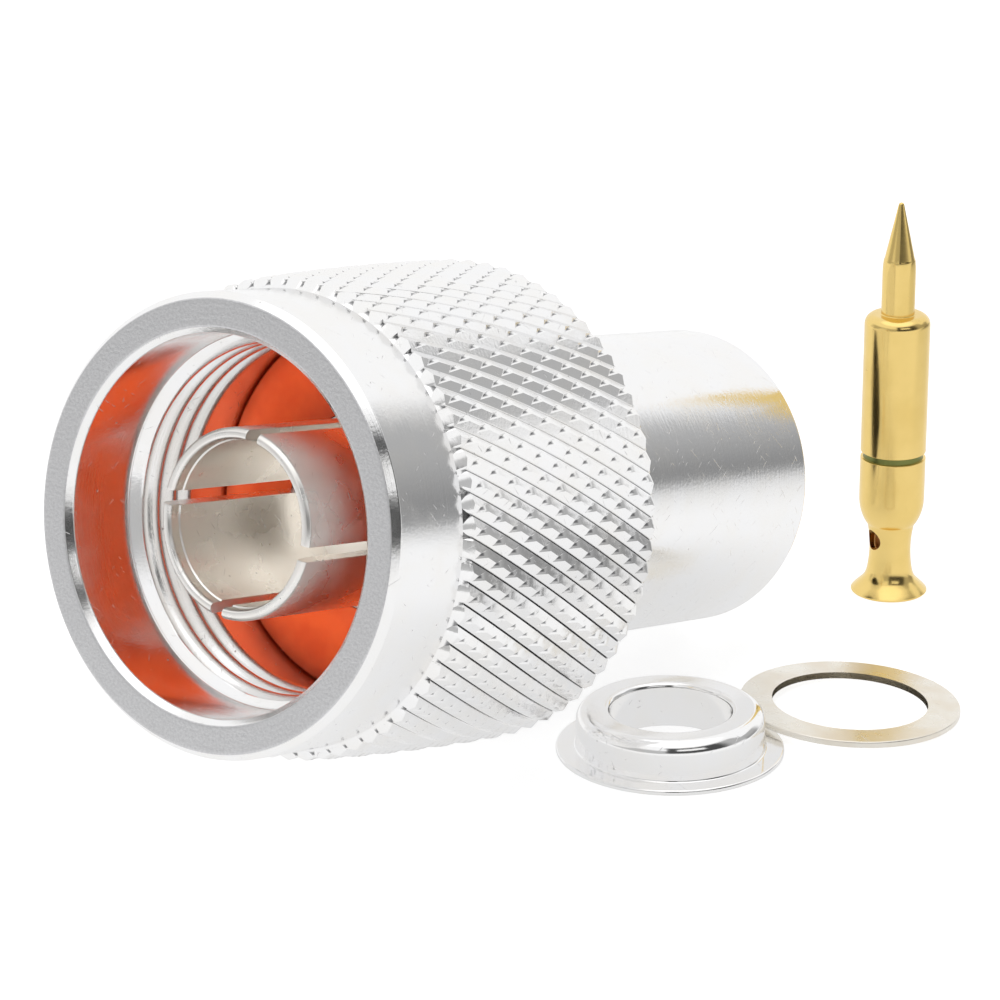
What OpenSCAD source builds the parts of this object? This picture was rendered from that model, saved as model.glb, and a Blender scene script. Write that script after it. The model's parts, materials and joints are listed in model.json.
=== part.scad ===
// N type cable plug of the clamp kind. It rests nose-up on its coupling nut
// and its tube, with its pin, braid clamp and flat washer set out beside it.
// Millimetres, +Z up, floor at z = 0. Along the plug, s runs from 0 at the
// mating face to total_length at the cable end.

/* [Coupling nut] */
// Length of the coupling nut
nut_length = 16.9; // [16:0.1:20]
// Diameter over the crests of the knurl
knurl_d = 21.4; // [20.6:0.1:25]
// How much smaller in radius the knurl starts behind the band
knurl_taper = 0.45; // [0:0.01:0.5]
// Depth of the knurl's grooves
knurl_depth = 0.38; // [0.2:0.01:0.45]
// Grooves each way round the nut
knurl_count = 68; // [48:4:88]
// Half diamonds along the knurl
knurl_rows = 12; // [8:1:16]
// Diameter of the smooth band in front of the knurl
band_d = 19.5; // [18.6:0.1:19.6]
// Length of the smooth band
band_length = 4.6; // [3:0.1:6]
// Length of the chamfer round the front face
face_chamfer = 0.32; // [0.1:0.01:0.6]
// Length of the chamfer on the knurl's rear edge
knurl_chamfer = 0.25; // [0.1:0.01:0.5]
// Length of the chamfer inside the nut's rear edge
lip_chamfer = 0.3; // [0.1:0.01:0.6]

/* [Coupling thread] */
// Diameter of the smooth mouth in front of the thread
mouth_d = 16; // [15.6:0.1:16.4]
// Length of the smooth mouth
mouth_length = 3.2; // [2:0.1:5]
// Chamfer on the mouth's front edge
mouth_chamfer = 0.3; // [0.1:0.01:0.5]
// Diameter over the crests of the inside thread
thread_bore_d = 14.94; // [14.6:0.01:15.2]
// Length of the thread
thread_length = 3.8; // [3:0.1:5]
// Diameter of the relief behind the thread
relief_d = 16.6; // [16:0.1:17.2]

/* [Body] */
// Length of the whole plug
total_length = 34.5; // [32:0.1:45]
// Outside diameter of the tube
tube_d = 13.86; // [13.4:0.01:14.4]
// Chamfer on the tube's rear edges
tube_chamfer = 0.15; // [0.05:0.01:0.3]
// Diameter of the tube's bore
cavity_d = 10.8; // [10.4:0.1:11.2]
// Thickness of the front flange that the nut pulls on
flange_thickness = 1.3; // [1:0.1:2]
// Length of the body's narrow front bore
front_wall = 2.6; // [2:0.1:3.2]

/* [Outer contact] */
// Outside diameter of the slotted sleeve
contact_d = 8.1; // [7.8:0.01:8.3]
// Bore of the slotted sleeve
contact_bore_d = 7; // [6.6:0.01:7.2]
// How far the sleeve's tip stands back from the mating face
contact_recess = 1.4; // [0.5:0.1:2.5]
// Chamfers on the sleeve's tip
contact_chamfer = 0.16; // [0.05:0.01:0.2]
// Diameter of the sleeve's root, inside the gasket and the body
contact_root_d = 8.8; // [8.5:0.1:9.4]
// Thickness of the collar that stops the sleeve in the body
collar_thickness = 1.2; // [0.8:0.1:2]
// Number of slots
slot_count = 4; // [2:1:6]
// Width of a slot
slot_width = 0.62; // [0.3:0.01:1]
// Whole metal left between the slots' ends and the sleeve's root
slot_land = 0.4; // [0.2:0.1:1]
// Turn of the first slot from straight up
slot_turn = 6; // [0:1:89]

/* [Seals and insulator] */
// Distance from the mating face to the mating gasket
gasket_depth = 10.4; // [9:0.1:10.8]
// Thickness of the mating gasket
gasket_thickness = 1.2; // [0.8:0.1:1.6]
// Distance from the sleeve's tip to the insulator inside it
insulator_depth = 9.6; // [9:0.1:10.4]
// How much wider than the sleeve's bore the insulator's seat is, all round
insulator_step = 0.2; // [0.18:0.01:0.3]
// Thickness of the insulator's flange
insulator_flange = 3; // [2:0.1:4]
// Length of the rubber ring that grips the cable
cable_gasket_length = 4; // [2:0.1:5]

/* [Retaining ring] */
// Width of the ring along the plug
ring_width = 0.9; // [0.6:0.1:1.2]
// How deep the ring sits in the tube
ring_seat = 0.5; // [0.3:0.1:0.7]
// How far the ring stands out of the tube
ring_height = 0.45; // [0.3:0.05:0.7]
// Opening between the ring's ends
ring_gap = 2.4; // [1:0.1:4]

/* [Clamp nut] */
// Length of the clamp nut
clamp_nut_length = 8; // [6:0.1:9]
// How far the clamp nut stands back from the tube's end
clamp_nut_recess = 0.2; // [0:0.1:1]
// Diameter of the cable that the plug takes
cable_d = 7.2; // [6:0.1:8]
// Width of the spanner slots
spanner_slot_width = 1.6; // [1:0.1:2.5]
// Depth of the spanner slots
spanner_slot_depth = 1.2; // [0.8:0.1:2]

/* [Centre contact] */
// Length of the pin
pin_length = 19.6; // [18:0.1:24]
// Diameter of the mating tip
pin_tip_d = 1.6; // [1.5:0.01:1.8]
// Length of the mating tip in front of the shoulder
pin_tip_length = 5.5; // [4.6:0.1:6.5]
// Length of the cone at the end of the tip
pin_cone_length = 2.75; // [1:0.05:3.2]
// Diameter of the cone where it starts
pin_cone_d = 1.44; // [1:0.01:1.48]
// Length of the rounding between tip and cone
pin_tip_rounding = 0.8; // [0.3:0.05:1]
// Radius of the cone's blunt end
pin_nose_r = 0.14; // [0.05:0.01:0.3]
// Diameter of the body
pin_body_d = 3.15; // [3:0.01:3.4]
// Rounding of the body's front shoulder
pin_shoulder = 0.28; // [0.1:0.01:0.5]
// Height of the body's lower end above the foot's underside
pin_body_start = 4.85; // [4.6:0.1:6]
// Length of the rounding between neck and body
pin_dome_length = 1.4; // [0.5:0.05:1.5]
// Height of the groove round the body
pin_groove_height = 7.05; // [6.5:0.05:9]
// Width of the groove
pin_groove_width = 0.32; // [0.2:0.02:0.6]
// Depth of the groove
pin_groove_depth = 0.14; // [0.05:0.01:0.2]
// Diameter of the neck at both ends
pin_neck_d = 2.26; // [2.2:0.01:2.6]
// Diameter of the neck's waist
pin_waist_d = 2.04; // [2:0.01:2.2]
// Diameter of the foot
pin_foot_d = 3.68; // [3.5:0.01:4]
// Thickness of the foot's rim
pin_foot_rim = 0.1; // [0.06:0.01:0.2]
// Height of the foot beside the neck
pin_foot_height = 0.34; // [0.25:0.01:0.6]
// Rounding between foot and neck
pin_foot_rounding = 0.14; // [0.05:0.01:0.3]
// Diameter of the solder bore
solder_bore_d = 1.45; // [1:0.01:1.6]
// Depth of the solder bore
solder_bore_length = 6.2; // [4:0.1:6.4]
// Diameter of the hole in the side of the neck
solder_hole_d = 1; // [0.5:0.05:1.2]
// Height of that hole above the foot's underside
solder_hole_height = 2.75; // [2:0.05:3]
// Direction of that hole, from +X towards +Y
solder_hole_turn = -114; // [-180:1:180]

/* [Braid clamp] */
// Diameter of the braid clamp's flange
braid_flange_d = 10.16; // [9.4:0.01:10.3]
// Thickness of the flange
braid_flange_thickness = 0.4; // [0.3:0.05:0.8]
// Diameter of the braid clamp's collar
braid_collar_d = 8.4; // [7.6:0.1:9]
// Bore of the braid clamp
braid_bore_d = 5.4; // [4.6:0.1:6]
// Height of the braid clamp
braid_clamp_height = 2.08; // [1.8:0.1:3]
// Rounding of the collar's upper edge
braid_rounding = 0.6; // [0.3:0.05:0.8]

/* [Flat washer] */
// Diameter of the flat washer
washer_d = 10; // [9.4:0.1:10.3]
// Bore of the flat washer
washer_bore_d = 7.08; // [6.6:0.01:7.6]
// Thickness of the flat washer
washer_thickness = 0.3; // [0.2:0.05:0.6]

/* [Clearances and layout] */
// Gap round the tube inside the turning nut
turn_gap = 0.1; // [0.05:0.01:0.15]
// Gap round the flange and the mating gasket inside the nut
flange_gap = 0.2; // [0.15:0.01:0.3]
// Gap between the nut and the flange it pulls on
pull_gap = 0.08; // [0.05:0.01:0.15]
// Gap round pieces that sit tight in a bore
seat_gap = 0.03; // [0.02:0.01:0.05]
// Gap all round the cable in the clamp nut
cable_gap = 0.3; // [0.25:0.01:0.5]
// Gap all round the cable in the cable gasket
grip_gap = 0.1; // [0.08:0.01:0.15]
// Sideways distance of the braid clamp from the tube
braid_clamp_side = 2.82; // [2.5:0.1:8]
// Distance of the braid clamp behind the nut's lowest edge
braid_clamp_back = 5.07; // [4:0.1:8]
// Direction from the braid clamp to the washer, from +X towards +Y
washer_bearing = 66; // [30:1:90]
// How far the washer lies over the braid clamp's flange
washer_lap = 0.65; // [0.3:0.05:1]
// Gap between that flange and the washer that leans on it
lean_gap = 0.02; // [0.01:0.01:0.05]
// Sideways distance of the pin from the plug's axis
pin_side = 6.6; // [6:0.1:12]
// Gap between the pin's foot and the tube's rear end
pin_back = 4.7; // [1:0.1:12]

/* [Hidden] */
$fn = 96;
overlap = 0.15;         // how far joined shapes of one piece run into each other
reach = 1;              // how far cutting shapes run past what they cut

band_r = band_d / 2;
mouth_r = mouth_d / 2;
thread_r = thread_bore_d / 2;
relief_r = relief_d / 2;
tube_r = tube_d / 2;
cavity_r = cavity_d / 2;
seated_r = cavity_r - seat_gap;
contact_r = contact_d / 2;
contact_bore_r = contact_bore_d / 2;
contact_root_r = contact_root_d / 2;
insulator_seat_r = contact_bore_r + insulator_step;
cable_hole_r = cable_d / 2 + cable_gap;

// Stations along the plug, in the order of s
insulator_front = contact_recess + insulator_depth;
flange_front = gasket_depth + gasket_thickness;
flange_back = flange_front + flange_thickness;
nut_shoulder = flange_back + pull_gap;
collar_front = flange_front + front_wall;
collar_back = collar_front + collar_thickness;
ring_middle = (nut_shoulder + nut_length) / 2;
clamp_nut_back = total_length - clamp_nut_recess;
clamp_nut_front = clamp_nut_back - clamp_nut_length;

// The knurl is a lattice: crests and groove crossings take turns along each
// row and round each ring of points
knurl_crest_r = knurl_d / 2;
knurl_root_r = knurl_crest_r - knurl_depth;
knurl_end = nut_length - knurl_chamfer;
knurl_steps = 2 * knurl_count;

// The plug rests on the nut's last ring of crests and on the tube's rear edge
tube_foot = total_length - tube_chamfer;
tilt = atan((knurl_crest_r - tube_r) / (tube_foot - knurl_end));
face_height = knurl_crest_r * cos(tilt) + knurl_end * sin(tilt);
face_back = knurl_crest_r * sin(tilt) - knurl_end * cos(tilt);

// Places on the floor, from the point under the nut's last ring of crests
braid_clamp_place = [tube_r + braid_clamp_side, braid_clamp_back];
braid_edge = braid_flange_thickness / 4;
washer_lean = atan((braid_flange_thickness + lean_gap) / (washer_d - washer_lap + braid_edge));
washer_far = braid_flange_d / 2 + washer_d - washer_lap;
washer_run = washer_far - washer_d / 2 * cos(washer_lean);
washer_axis_x = sin(washer_lean) * cos(washer_bearing);
washer_right = braid_clamp_place.x + washer_run * cos(washer_bearing)
    + washer_thickness * washer_axis_x + washer_d / 2 * sqrt(1 - pow(washer_axis_x, 2));
tube_end_back = face_back + total_length * cos(tilt) + tube_r * sin(tilt);
pin_place = [pin_side, tube_end_back + pin_back + pin_foot_d / 2];

// The origin is on the floor under the middle of the whole set
set_left = -knurl_crest_r;
set_right = max(knurl_crest_r, washer_right);
set_front = face_back - (band_r - face_chamfer) * sin(tilt);
set_back = pin_place.y + pin_foot_d / 2;
set_middle = [(set_left + set_right) / 2, (set_front + set_back) / 2];

// Puts a floor place into the shared frame
module stand(place) {
    translate([place.x - set_middle.x, place.y - set_middle.y, 0]) children();
}

// Lays the plug down: s runs back and down along the tilted axis
module lay() {
    stand([0, face_back]) translate([0, 0, face_height]) rotate([90 + tilt, 0, 180]) children();
}

// Turned ring with a rectangular section between two radii and two stations
module turned_ring(inner_r, outer_r, from, to) {
    rotate_extrude()
        translate([inner_r, from])
            square([outer_r - inner_r, to - from]);
}

// Points of an elliptical quarter or part arc about [x, y]
function arc(centre, size, from, to, count = 8) =
    [for (i = [0 : count]) let (a = from + (to - from) * i / count)
        centre + [size[0] * cos(a), size[1] * sin(a)]];

// One point of the knurl's lattice
function knurl_point(row, step) =
    let (crest = (knurl_rows - row + step) % 2 == 0,
         taper = knurl_taper * pow(1 - row / knurl_rows, 2),
         r = (crest ? knurl_crest_r : knurl_root_r) - taper,
         a = step * 180 / knurl_count - 90)
    [r * cos(a), r * sin(a), band_length + (knurl_end - band_length) * row / knurl_rows];

// One ring of points with a plain radius
function plain_ring(r, z) =
    [for (step = [0 : knurl_steps - 1]) let (a = step * 180 / knurl_count - 90) [r * cos(a), r * sin(a), z]];

// Two triangles of one cell, split along its groove
function knurl_cell(row, step) =
    let (next = (step + 1) % knurl_steps,
         low = row * knurl_steps,
         high = (row + 1) * knurl_steps,
         rising = (knurl_rows - row + step) % 2 != 0)
    rising
        ? [[low + step, high + step, high + next], [low + step, high + next, low + next]]
        : [[low + step, high + step, low + next], [low + next, high + step, high + next]];

// Ring of quadrilaterals between two rings of points
function plain_cells(low, high) =
    [for (step = [0 : knurl_steps - 1]) let (next = (step + 1) % knurl_steps)
        [low * knurl_steps + step, high * knurl_steps + step,
         high * knurl_steps + next, low * knurl_steps + next]];

// Diamond knurl: pyramids between grooves that run round the nut both ways
module knurl() {
    inner_r = band_r - overlap;
    rings = [
        for (row = [0 : knurl_rows], step = [0 : knurl_steps - 1]) knurl_point(row, step),
        each plain_ring(knurl_root_r, nut_length),
        each plain_ring(inner_r, nut_length),
        each plain_ring(inner_r, band_length)
    ];
    cells = [
        for (row = [0 : knurl_rows - 1], step = [0 : knurl_steps - 1]) each knurl_cell(row, step),
        for (ring = [knurl_rows : knurl_rows + 2], quad = plain_cells(ring, ring + 1))
            each [[quad[0], quad[1], quad[2]], [quad[0], quad[2], quad[3]]],
        for (quad = plain_cells(knurl_rows + 3, 0)) each [[quad[0], quad[1], quad[2]], [quad[0], quad[2], quad[3]]]
    ];
    polyhedron(points = rings, faces = cells);
}

module coupling_nut() {
    lip_r = tube_r + turn_gap;
    groove_r = tube_r + ring_height + flange_gap;
    groove_from = ring_middle - ring_width / 2 - pull_gap;
    groove_to = ring_middle + ring_width / 2 + pull_gap;
    thread_from = mouth_length + mouth_r - thread_r;
    thread_to = thread_from + thread_length;
    color("silver") lay() union() {
        rotate_extrude() polygon([
            [mouth_r + mouth_chamfer, 0],
            [band_r - face_chamfer, 0],
            [band_r, face_chamfer],
            [band_r, nut_length],
            [lip_r + lip_chamfer, nut_length],
            [lip_r, nut_length - lip_chamfer],
            [lip_r, groove_to],
            [groove_r, groove_to],
            [groove_r, groove_from],
            [lip_r, groove_from],
            [lip_r, nut_shoulder],
            [relief_r, nut_shoulder],
            [relief_r, thread_to],
            [thread_r, thread_to],
            [thread_r, thread_from],
            [mouth_r, mouth_length],
            [mouth_r, mouth_chamfer]
        ]);
        knurl();
    }
}

module connector_body() {
    flange_r = relief_r - flange_gap;
    groove_r = tube_r - ring_seat - seat_gap;
    groove_from = ring_middle - ring_width / 2 - seat_gap;
    groove_to = ring_middle + ring_width / 2 + seat_gap;
    bore_r = contact_root_r + seat_gap;
    color("gainsboro") lay() rotate_extrude() polygon([
        [bore_r, flange_front],
        [flange_r, flange_front],
        [flange_r, flange_back],
        [tube_r, flange_back],
        [tube_r, groove_from],
        [groove_r, groove_from],
        [groove_r, groove_to],
        [tube_r, groove_to],
        [tube_r, tube_foot],
        [tube_r - tube_chamfer, total_length],
        [cavity_r + tube_chamfer, total_length],
        [cavity_r, tube_foot],
        [cavity_r, collar_front],
        [bore_r, collar_front]
    ]);
}

module outer_contact() {
    slot_end = gasket_depth - slot_land;
    color("silver") lay() difference() {
        rotate_extrude() polygon([
            [contact_bore_r + contact_chamfer, contact_recess],
            [contact_r - contact_chamfer, contact_recess],
            [contact_r, contact_recess + contact_chamfer],
            [contact_r, gasket_depth],
            [contact_root_r, gasket_depth],
            [contact_root_r, collar_front],
            [seated_r, collar_front],
            [seated_r, collar_back],
            [insulator_seat_r, collar_back],
            [insulator_seat_r, insulator_front],
            [contact_bore_r, insulator_front],
            [contact_bore_r, contact_recess + contact_chamfer]
        ]);
        for (i = [0 : slot_count - 1])
            rotate(90 + slot_turn + i * 360 / slot_count)
                translate([0, -slot_width / 2, contact_recess - reach])
                    cube([contact_r + reach, slot_width, slot_end - contact_recess + reach]);
    }
}

module mating_gasket() {
    color("orangered") lay()
        turned_ring(contact_root_r + seat_gap, relief_r - flange_gap, gasket_depth, flange_front);
}

module retaining_ring() {
    color("goldenrod") lay() difference() {
        turned_ring(tube_r - ring_seat, tube_r + ring_height,
                    ring_middle - ring_width / 2, ring_middle + ring_width / 2);
        translate([-ring_gap / 2, 0, ring_middle - ring_width / 2 - reach])
            cube([ring_gap, tube_r + ring_height + reach, ring_width + 2 * reach]);
    }
}

module insulator() {
    hole_r = pin_body_d / 2 + seat_gap;
    color("white") lay() rotate_extrude() polygon([
        [hole_r, insulator_front],
        [insulator_seat_r - seat_gap, insulator_front],
        [insulator_seat_r - seat_gap, collar_back],
        [seated_r, collar_back],
        [seated_r, collar_back + insulator_flange],
        [hole_r, collar_back + insulator_flange]
    ]);
}

module cable_gasket() {
    color("dimgray") lay()
        turned_ring(cable_d / 2 + grip_gap, seated_r, clamp_nut_front - cable_gasket_length, clamp_nut_front);
}

module clamp_nut() {
    color("silver") lay() difference() {
        rotate_extrude() polygon([
            [cable_hole_r, clamp_nut_front],
            [seated_r, clamp_nut_front],
            [seated_r, clamp_nut_back - tube_chamfer],
            [seated_r - tube_chamfer, clamp_nut_back],
            [cable_hole_r + lip_chamfer, clamp_nut_back],
            [cable_hole_r, clamp_nut_back - lip_chamfer]
        ]);
        translate([-cavity_r - reach, -spanner_slot_width / 2, clamp_nut_back - spanner_slot_depth])
            cube([2 * (cavity_r + reach), spanner_slot_width, spanner_slot_depth + reach]);
    }
}

// Pin, standing on its foot, with the solder bore up its middle
module centre_contact() {
    foot_r = pin_foot_d / 2;
    neck_r = pin_neck_d / 2;
    waist_r = pin_waist_d / 2;
    body_r = pin_body_d / 2;
    tip_r = pin_tip_d / 2;
    cone_r = pin_cone_d / 2;
    shoulder_at = pin_length - pin_tip_length;
    cone_at = pin_length - pin_cone_length;
    neck_bottom = pin_foot_height + pin_foot_rounding;
    neck_top = pin_body_start - pin_dome_length;
    dome_from = 310;
    dome_w = (body_r - neck_r) / (1 - cos(dome_from));
    dome_h = pin_dome_length / -sin(dome_from);
    groove_from = pin_groove_height - pin_groove_width / 2;
    groove_to = pin_groove_height + pin_groove_width / 2;
    profile = [
        [solder_bore_d / 2, 0],
        [foot_r - pin_foot_rim / 2, 0],
        [foot_r, pin_foot_rim / 2],
        [foot_r, pin_foot_rim],
        each arc([neck_r + pin_foot_rounding, neck_bottom], pin_foot_rounding * [1, 1], 270, 180, 4),
        for (u = [-0.75 : 0.25 : 0.75])
            [waist_r + (neck_r - waist_r) * u * u, (neck_bottom + neck_top) / 2 + u * (neck_top - neck_bottom) / 2],
        each arc([body_r - dome_w, pin_body_start], [dome_w, dome_h], dome_from, 360),
        [body_r, groove_from],
        [body_r - pin_groove_depth, groove_from],
        [body_r - pin_groove_depth, groove_to],
        [body_r, groove_to],
        each arc([body_r - pin_shoulder, shoulder_at - pin_shoulder], pin_shoulder * [1, 1], 0, 90),
        [tip_r, shoulder_at],
        each arc([cone_r, cone_at - pin_tip_rounding], [tip_r - cone_r, pin_tip_rounding], 0, 75, 4),
        [cone_r, cone_at],
        each arc([0, pin_length - pin_nose_r], pin_nose_r * [1, 1], 12, 90),
        [0, solder_bore_length],
        [solder_bore_d / 2, solder_bore_length]
    ];
    color("gold") stand(pin_place) difference() {
        rotate_extrude() polygon(profile);
        translate([0, 0, solder_hole_height])
            rotate([0, 90, solder_hole_turn])
                cylinder(d = solder_hole_d, h = foot_r + reach);
    }
}

module braid_clamp() {
    bore_r = braid_bore_d / 2;
    collar_r = braid_collar_d / 2;
    flange_r = braid_flange_d / 2;
    color("silver") stand(braid_clamp_place) rotate_extrude() polygon([
        [bore_r, 0],
        [flange_r - braid_edge, 0],
        [flange_r, braid_edge],
        [flange_r, braid_flange_thickness - braid_edge],
        [flange_r - braid_edge, braid_flange_thickness],
        [collar_r, braid_flange_thickness],
        each arc([collar_r - braid_rounding, braid_clamp_height - braid_rounding],
                 braid_rounding * [1, 1], 0, 90),
        [bore_r + braid_edge, braid_clamp_height],
        [bore_r, braid_clamp_height - braid_edge]
    ]);
}

// Flat washer, leaning on the braid clamp's flange, its far edge on the floor
module flat_washer() {
    color("silver") stand(braid_clamp_place)
        rotate(washer_bearing) translate([washer_far, 0, 0]) rotate([0, washer_lean, 0])
            translate([-washer_d / 2, 0, 0])
                turned_ring(washer_bore_d / 2, washer_d / 2, 0, washer_thickness);
}

coupling_nut();
connector_body();
outer_contact();
mating_gasket();
retaining_ring();
insulator();
cable_gasket();
clamp_nut();
centre_contact();
braid_clamp();
flat_washer();
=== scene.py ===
import math

import bpy
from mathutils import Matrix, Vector
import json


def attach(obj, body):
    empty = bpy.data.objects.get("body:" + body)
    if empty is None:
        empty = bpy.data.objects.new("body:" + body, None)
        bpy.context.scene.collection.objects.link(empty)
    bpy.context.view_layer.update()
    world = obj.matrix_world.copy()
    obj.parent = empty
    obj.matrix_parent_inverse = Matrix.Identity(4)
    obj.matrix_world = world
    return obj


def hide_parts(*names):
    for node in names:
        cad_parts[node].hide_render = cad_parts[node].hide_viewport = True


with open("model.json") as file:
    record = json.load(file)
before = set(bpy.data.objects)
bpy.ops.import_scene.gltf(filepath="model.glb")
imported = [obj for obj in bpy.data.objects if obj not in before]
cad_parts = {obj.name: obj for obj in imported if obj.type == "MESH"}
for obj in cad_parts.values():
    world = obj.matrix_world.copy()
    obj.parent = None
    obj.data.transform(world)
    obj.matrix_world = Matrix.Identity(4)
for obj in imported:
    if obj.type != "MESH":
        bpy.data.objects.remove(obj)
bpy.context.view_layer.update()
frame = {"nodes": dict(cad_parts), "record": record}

# Pieces are modelled in millimetres about their own axis and scaled to metres when placed.
# Turned pieces are drawn as (radius, station) outlines; station 0 is the plug's mating face.
mounts = {mount["name"]: mount for mount in frame["record"]["mounts"]}
mm = 0.001
closeTo, hair = 1e-3, 1e-4  # how near two points count as one, in millimetres
plug = {"threadMiddle": 5.63, "spinSteps": 192}
rearward = -Vector(mounts["coupling_thread"]["axis"])
faceCentre = Vector(mounts["coupling_thread"]["pos_m"]) - rearward * plug["threadMiddle"] * mm
plugTurn = (-math.acos(rearward.z), 0.0, 0.0)


def standing(mountName):
    # the spot on the floor under a mount
    spot = Vector(mounts[mountName]["pos_m"])
    return Vector((spot.x, spot.y, 0.0))


# Mesh helpers

def pickOnly(piece):
    if bpy.context.object and bpy.context.object.mode != "OBJECT":
        bpy.ops.object.mode_set(mode="OBJECT")
    bpy.ops.object.select_all(action="DESELECT")
    piece.select_set(True)
    bpy.context.view_layer.objects.active = piece


def editWith(piece, mode, test):
    # enters edit mode with only the vertices, edges or faces selected that pass the test
    pickOnly(piece)
    mesh = piece.data
    for items in (mesh.vertices, mesh.edges, mesh.polygons):
        items.foreach_set("select", [False] * len(items))
    chosen = {"VERT": mesh.vertices, "EDGE": mesh.edges, "FACE": mesh.polygons}[mode]
    chosen.foreach_set("select", [bool(test(item)) for item in chosen])
    bpy.ops.object.mode_set(mode="EDIT")
    bpy.ops.mesh.select_mode(type=mode)


def leaveEdit():
    bpy.ops.object.mode_set(mode="OBJECT")


def drawOutline(name, outline, closed=True):
    # one vertex, extruded from point to point in the XZ plane
    bpy.ops.object.select_all(action="DESELECT")
    bpy.ops.mesh.primitive_plane_add(size=0.01, location=(0, 0, 0))
    piece = bpy.context.object
    piece.name = piece.data.name = name
    bpy.ops.object.mode_set(mode="EDIT")
    bpy.ops.mesh.select_mode(type="VERT")
    bpy.ops.mesh.select_all(action="SELECT")
    bpy.ops.mesh.merge(type="CENTER")
    bpy.ops.transform.translate(value=(outline[0][0], 0, outline[0][1]))
    for last, point in zip(outline, outline[1:]):
        step = (point[0] - last[0], 0, point[1] - last[1])
        bpy.ops.mesh.extrude_vertices_move(TRANSFORM_OT_translate={"value": step})
    leaveEdit()
    if closed:
        ends = (0, len(outline) - 1)
        editWith(piece, "VERT", lambda vertex: vertex.index in ends)
        bpy.ops.mesh.edge_face_add()
        leaveEdit()
    return piece


def roundCorners(piece, radius, corners, segments=3):
    # rounds the outline's corners that lie at the given (radius, station) points
    def isCorner(vertex):
        return any(math.hypot(vertex.co.x - x, vertex.co.z - z) < closeTo for x, z in corners)
    editWith(piece, "VERT", isCorner)
    bpy.ops.mesh.bevel(offset=radius, offset_type="OFFSET", segments=segments, profile=0.5, affect="VERTICES")
    leaveEdit()


def spinOutline(piece, steps=plug["spinSteps"]):
    editWith(piece, "VERT", lambda vertex: True)
    bpy.ops.mesh.spin(steps=steps, angle=2 * math.pi, center=(0, 0, 0), axis=(0, 0, 1))
    bpy.ops.mesh.select_all(action="SELECT")
    bpy.ops.mesh.remove_doubles(threshold=hair)
    bpy.ops.mesh.normals_make_consistent(inside=False)
    leaveEdit()


def turnPiece(name, outline, rounding=(), closed=True, steps=plug["spinSteps"]):
    piece = drawOutline(name, outline, closed)
    for radius, corners in rounding:
        roundCorners(piece, radius, corners)
    spinOutline(piece, steps)
    return piece


def cutAway(piece, cutter):
    pickOnly(piece)
    modifier = piece.modifiers.new("cut", "BOOLEAN")
    modifier.operation = "DIFFERENCE"
    modifier.solver = "EXACT"
    modifier.object = cutter
    bpy.ops.object.modifier_apply(modifier=modifier.name)
    bpy.data.objects.remove(cutter, do_unlink=True)


def cutSlot(piece, width, reach, start, end, turn=0):
    # a straight slot across the axis, from one station to another
    bpy.ops.object.select_all(action="DESELECT")
    bpy.ops.mesh.primitive_cube_add(size=1)
    cutter = bpy.context.object
    cutter.scale = (reach, width, end - start)
    cutter.location = (0, 0, (start + end) / 2)
    cutter.rotation_euler = (0, 0, math.radians(turn))
    bpy.ops.object.transform_apply(location=True, rotation=True, scale=True)
    cutAway(piece, cutter)


def softenEdges(piece, width, angle):
    pickOnly(piece)
    modifier = piece.modifiers.new("soften", "BEVEL")
    modifier.width = width
    modifier.segments = 2
    modifier.limit_method = "ANGLE"
    modifier.angle_limit = math.radians(angle)
    modifier.use_clamp_overlap = True
    bpy.ops.object.modifier_apply(modifier=modifier.name)


def smoothShading(piece, angle):
    pickOnly(piece)
    bpy.ops.object.shade_smooth_by_angle(angle=math.radians(angle))
    modifier = piece.modifiers.new("evenNormals", "WEIGHTED_NORMAL")
    modifier.keep_sharp = True
    bpy.ops.object.modifier_apply(modifier=modifier.name)


def place(piece, spot, turn=(0, 0, 0)):
    pickOnly(piece)
    piece.scale = (mm, mm, mm)
    piece.rotation_euler = turn
    piece.location = spot
    bpy.ops.object.transform_apply(location=True, rotation=True, scale=True)


def layOnPlug(piece):
    place(piece, faceCentre, plugTurn)


def dress(piece, material, body, slot, *nodes):
    piece.data.materials.clear()
    piece.data.materials.append(material)
    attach(piece, body)
    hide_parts(*nodes)


# Shader helpers

def addNode(tree, kind, settings=None, **inputs):
    # an input is given by its socket's name, or by i and its number
    node = tree.nodes.new(kind)
    for key, value in (settings or {}).items():
        setattr(node, key, value)
    for key, value in inputs.items():
        numbered = key[0] == "i" and key[1:].isdigit()
        socket = node.inputs[int(key[1:]) if numbered else key.replace("_", " ")]
        if isinstance(value, bpy.types.NodeSocket):
            tree.links.new(value, socket)
        else:
            socket.default_value = value
    return node


def mathNode(tree, operation, first, second=0.0, clamp=False):
    settings = {"operation": operation, "use_clamp": clamp}
    return addNode(tree, "ShaderNodeMath", settings, i0=first, i1=second).outputs[0]


def multiply(tree, *factors):
    product = factors[0]
    for factor in factors[1:]:
        product = mathNode(tree, "MULTIPLY", product, factor)
    return product


def inverse(tree, value):
    return mathNode(tree, "SUBTRACT", 1.0, value)


def mapRange(tree, value, span, toLow=0.0, toHigh=1.0, smooth=True):
    settings = {"interpolation_type": "SMOOTHSTEP" if smooth else "LINEAR"}
    return addNode(tree, "ShaderNodeMapRange", settings, Value=value, From_Min=span[0], From_Max=span[1],
                   To_Min=toLow, To_Max=toHigh).outputs[0]


def falling(tree, value, span):
    return mapRange(tree, value, span, 1.0, 0.0)


def mixGreys(tree, share, first, second):
    return addNode(tree, "ShaderNodeMix", i0=share, i2=first, i3=second).outputs[0]


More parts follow.
